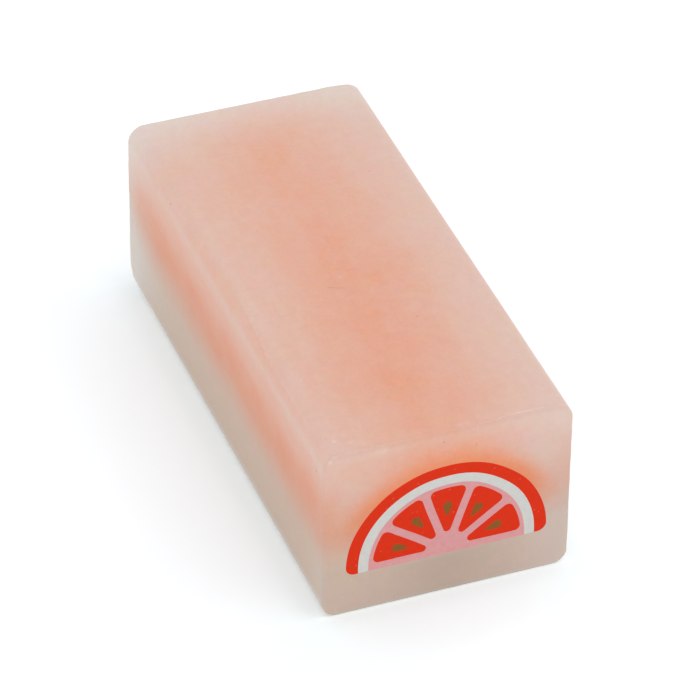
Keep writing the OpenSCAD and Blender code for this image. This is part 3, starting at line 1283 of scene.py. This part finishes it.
class ERASER_OT_burrs(bpy.types.Operator):
    """Build the thin threads of rubber that the blade left on the cuts' edges"""

    bl_idname = "eraser.burrs"
    bl_label = "Burrs"

    def execute(self, context):
        block = context.scene.eraser_block
        outline = block_outline(block.upper_edge_radius, block.lower_edge_radius, block.wall_step)
        paths = [burr_thread(outline, block.burr_radius, burr, seed) for seed, burr in enumerate(BURRS)]
        piece = thread_mesh("burrs", paths)
        piece.data.materials.append(burr_rubber(context.scene.eraser_colours))
        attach(piece, BODY)
        return {"FINISHED"}


class ERASER_OT_peel(bpy.types.Operator):
    """Build the red arch on the outside of the slice"""

    bl_idname = "eraser.peel"
    bl_label = "Peel"

    def execute(self, context):
        picture = context.scene.eraser_picture
        outline = peel_outline(picture.slice_corner_radius, picture.outline_step)
        piece = prism("peel", [outline], stations(picture.ring_step), picture)
        put_in_frame(piece, "peel_strand", red_rubber())
        return {"FINISHED"}


class ERASER_OT_pith(bpy.types.Operator):
    """Build the white arch inside the peel"""

    bl_idname = "eraser.pith"
    bl_label = "Pith"

    def execute(self, context):
        picture = context.scene.eraser_picture
        colours = context.scene.eraser_colours
        piece = prism("pith", [pith_outline(picture.outline_step)], stations(picture.ring_step), picture)
        material = cut_rubber("White Rubber", colours.white, screen(196, 196, 194), 0.4, 0.45)
        put_in_frame(piece, "pith_strand", material)
        return {"FINISHED"}


class ERASER_OT_membrane(bpy.types.Operator):
    """Build the pale web that holds the segments apart"""

    bl_idname = "eraser.membrane"
    bl_label = "Membrane"

    def execute(self, context):
        picture = context.scene.eraser_picture
        colours = context.scene.eraser_colours
        segments = [drawn_segment(picture, index) for index in range(1, SEGMENT_COUNT + 1)]
        loops = [membrane_outline(picture.outline_step), *segments]
        piece = prism("membrane", loops, stations(picture.ring_step), picture)
        material = cut_rubber("Pink Rubber", colours.pink, screen(236, 200, 202), 0.4, 0.45)
        put_in_frame(piece, "membrane_strand", material)
        return {"FINISHED"}


class ERASER_OT_segments(bpy.types.Operator):
    """Build the red flesh segments, each with the hole that its pip fills"""

    bl_idname = "eraser.segments"
    bl_label = "Segments"

    def execute(self, context):
        picture = context.scene.eraser_picture
        for index in range(1, SEGMENT_COUNT + 1):
            pip = pip_outline(index, picture.pip_point_radius, picture.outline_step)
            loops = [drawn_segment(picture, index), pip]
            piece = prism(f"segment_{index}", loops, stations(picture.ring_step), picture)
            put_in_frame(piece, f"segment_strand_{index}", red_rubber())
        return {"FINISHED"}


class ERASER_OT_pips(bpy.types.Operator):
    """Build the brown pips"""

    bl_idname = "eraser.pips"
    bl_label = "Pips"

    def execute(self, context):
        picture = context.scene.eraser_picture
        colours = context.scene.eraser_colours
        material = cut_rubber("Brown Rubber", colours.brown, screen(165, 118, 60), 0.4, 0.5)
        for index in range(1, SEGMENT_COUNT + 1):
            outline = pip_outline(index, picture.pip_point_radius, picture.outline_step)
            piece = prism(f"pip_{index}", [outline], stations(picture.ring_step), picture)
            put_in_frame(piece, f"pip_strand_{index}", material)
        return {"FINISHED"}


def seen_itself(sketch):
    """1 where the stage is seen, also in a reflection or through glass, and 0 where it lights the block."""
    path = sketch.add("ShaderNodeLightPath").outputs
    seen = sketch.larger(path["Is Camera Ray"], path["Is Glossy Ray"])
    return sketch.larger(seen, path["Is Transmission Ray"])


def white_tent(strength):
    """World that lights the block evenly and looks white to the camera and in reflections."""
    world = bpy.data.worlds.new("White Tent")
    sketch = empty_nodes(world)
    seen = seen_itself(sketch)
    background = sketch.add("ShaderNodeBackground")
    background.inputs["Color"].default_value = opaque(PLAIN_WHITE)
    level = seen * (1.0 - strength) + strength
    sketch.feed(background.inputs["Strength"], level)
    output = sketch.add("ShaderNodeOutputWorld")
    sketch.feed(output.inputs["Surface"], background.outputs[0])
    bpy.context.scene.world = world


def floor_shine(sketch):
    """Painted light on the floor round the block where it is seen, warm close to its foot: its colour and
    its strength.
    """
    x, y, _ = sketch.split(sketch.place())
    beside = abs(x) - SIDE_X
    beyond = abs(y) - CUT_Y
    gap = sketch.larger(sketch.larger(beside, beyond), 0.0)
    in_front = sketch.rise(y, -CUT_Y - 4.0, -CUT_Y + 4.0, 1.0, 0.0)
    at_rear = sketch.rise(y, CUT_Y - 5.0, CUT_Y - 1.0)
    to_right = sketch.rise(x, -8.0, 4.0)
    front_colour = sketch.blend(to_right, opaque(FRONT_LEFT_SHINE), opaque(FRONT_RIGHT_SHINE))
    shine = sketch.blend(in_front, opaque(SIDE_SHINE), front_colour)
    # Warm painted light is added close to the foot, but not at the rear corner
    close = sketch.bell(gap, 0.0, sketch.rise(in_front, 0.0, 1.0, 0.45, 0.25)) * (1.0 - at_rear)
    close_colour = sketch.blend(in_front, opaque(CLOSE_SIDE_SHINE), opaque(CLOSE_FRONT_SHINE))
    shine = sketch.blend(close, shine, close_colour, "ADD")
    # The painted light grows away from the foot, and it is weakest beside the rear corner, which paints the
    # shadow there deeper
    level = sketch.rise(gap, 0.2, 2.6, 0.8, 1.12)
    level *= sketch.rise(gap, 3.0, 10.0, 1.0, sketch.rise(in_front, 0.0, 1.0, 0.88, 1.15))
    level -= sketch.fade(gap, 0.8) * at_rear * 0.15
    return shine, level


def floor_material():
    """White sweep that shows as plain white and keeps a soft share of the shadow."""
    material = bpy.data.materials.new("White Sweep")
    sketch = empty_nodes(material)
    seen = seen_itself(sketch)
    # The block's warm light falls on the floor, and this cool tint makes its shadow grey again
    diffuse = sketch.add("ShaderNodeBsdfDiffuse")
    sketch.feed(diffuse.inputs["Color"], sketch.blend(seen, opaque(PLAIN_WHITE), opaque(COOL_WHITE)))
    shine, level = floor_shine(sketch)
    glow = sketch.add("ShaderNodeEmission")
    sketch.feed(glow.inputs["Color"], shine)
    sketch.feed(glow.inputs["Strength"], seen * level)
    both = sketch.add("ShaderNodeAddShader")
    sketch.feed(both.inputs[0], diffuse.outputs[0])
    sketch.feed(both.inputs[1], glow.outputs[0])
    output = sketch.add("ShaderNodeOutputMaterial")
    sketch.feed(output.inputs["Surface"], both.outputs[0])
    return material


def make_floor(size):
    """Flat white floor just under the block."""
    half = size / 2
    corners = [(-half, -half, 0.0), (half, -half, 0.0), (half, half, 0.0), (-half, half, 0.0)]
    floor = add_object("floor", corners, [(0, 1, 2, 3)])
    floor.data.materials.append(floor_material())


def make_key(strength, spread):
    """Broad soft light from high up on the right of the block and a little in front of it."""
    lamp = bpy.data.lights.new("key", "SUN")
    lamp.energy = strength
    lamp.angle = spread
    key = bpy.data.objects.new("key", lamp)
    bpy.context.scene.collection.objects.link(key)
    key.location = KEY_PLACE
    aim = Vector((0.0, 0.0, HEIGHT / 2)) - key.location
    key.rotation_mode = "QUATERNION"
    key.rotation_quaternion = aim.to_track_quat("-Z", "Y")


def make_camera(settings):
    """Long lens at the place from which the block was pictured."""
    azimuth = settings.azimuth
    elevation = settings.elevation
    back = Vector((
        math.sin(azimuth) * math.cos(elevation),
        -math.cos(azimuth) * math.cos(elevation),
        math.sin(elevation)))
    level_right = Vector((math.cos(azimuth), math.sin(azimuth), 0.0))
    level_up = back.cross(level_right)
    right = level_right * math.cos(settings.roll) + level_up * math.sin(settings.roll)
    up = level_up * math.cos(settings.roll) - level_right * math.sin(settings.roll)
    middle = Vector((0.0, 0.0, HEIGHT / 2))
    location = middle + back * settings.distance
    aim = middle + right * settings.aim_right - up * settings.aim_below
    back = (location - aim).normalized()
    right = up.cross(back).normalized()
    up = back.cross(right)
    lens = bpy.data.cameras.new("camera")
    lens.lens = settings.focal_length
    lens.clip_start = 0.01
    camera = bpy.data.objects.new("camera", lens)
    bpy.context.scene.collection.objects.link(camera)
    camera.matrix_world = Matrix.Translation(location) @ Matrix((right, up, back)).transposed().to_4x4()
    bpy.context.scene.camera = camera


class ERASER_OT_stage(bpy.types.Operator):
    """Set up the white floor, the soft light and the camera"""

    bl_idname = "eraser.stage"
    bl_label = "Stage"

    def execute(self, context):
        settings = context.scene.eraser_stage
        white_tent(settings.tent_strength)
        make_floor(settings.floor_size)
        make_key(settings.key_strength, settings.key_spread)
        make_camera(settings)
        context.scene.view_settings.view_transform = "Standard"
        return {"FINISHED"}


class ERASER_PT_sidebar(bpy.types.Panel):
    """Lists the pieces of the eraser and their settings"""

    bl_idname = "ERASER_PT_sidebar"
    bl_label = "Picture Block Eraser"
    bl_space_type = "VIEW_3D"
    bl_region_type = "UI"
    bl_category = "Eraser"

    def draw(self, context):
        column = self.layout.column()
        for operator in OPERATORS:
            column.operator(operator.bl_idname)
        for name in SETTINGS:
            settings = getattr(context.scene, name)
            box = self.layout.box()
            for prop in settings.bl_rna.properties:
                if prop.identifier not in ("name", "rna_type"):
                    box.prop(settings, prop.identifier)


OPERATORS = (
    ERASER_OT_clear_block,
    ERASER_OT_burrs,
    ERASER_OT_peel,
    ERASER_OT_pith,
    ERASER_OT_membrane,
    ERASER_OT_segments,
    ERASER_OT_pips,
    ERASER_OT_stage,
)

SETTINGS = {
    "eraser_block": EraserBlockSettings,
    "eraser_picture": EraserPictureSettings,
    "eraser_colours": EraserColourSettings,
    "eraser_stage": EraserStageSettings,
}


def register():
    for name, group in SETTINGS.items():
        bpy.utils.register_class(group)
        setattr(bpy.types.Scene, name, bpy.props.PointerProperty(type=group))
    for operator in OPERATORS:
        bpy.utils.register_class(operator)
    bpy.utils.register_class(ERASER_PT_sidebar)


def unregister():
    bpy.utils.unregister_class(ERASER_PT_sidebar)
    for operator in reversed(OPERATORS):
        bpy.utils.unregister_class(operator)
    for name, group in reversed(SETTINGS.items()):
        delattr(bpy.types.Scene, name)
        bpy.utils.unregister_class(group)


def main():
    """Builds every piece and the stage."""
    register()
    bpy.ops.eraser.clear_block()
    bpy.ops.eraser.burrs()
    bpy.ops.eraser.peel()
    bpy.ops.eraser.pith()
    bpy.ops.eraser.membrane()
    bpy.ops.eraser.segments()
    bpy.ops.eraser.pips()
    bpy.ops.eraser.stage()


if __name__ == "__main__":
    main()
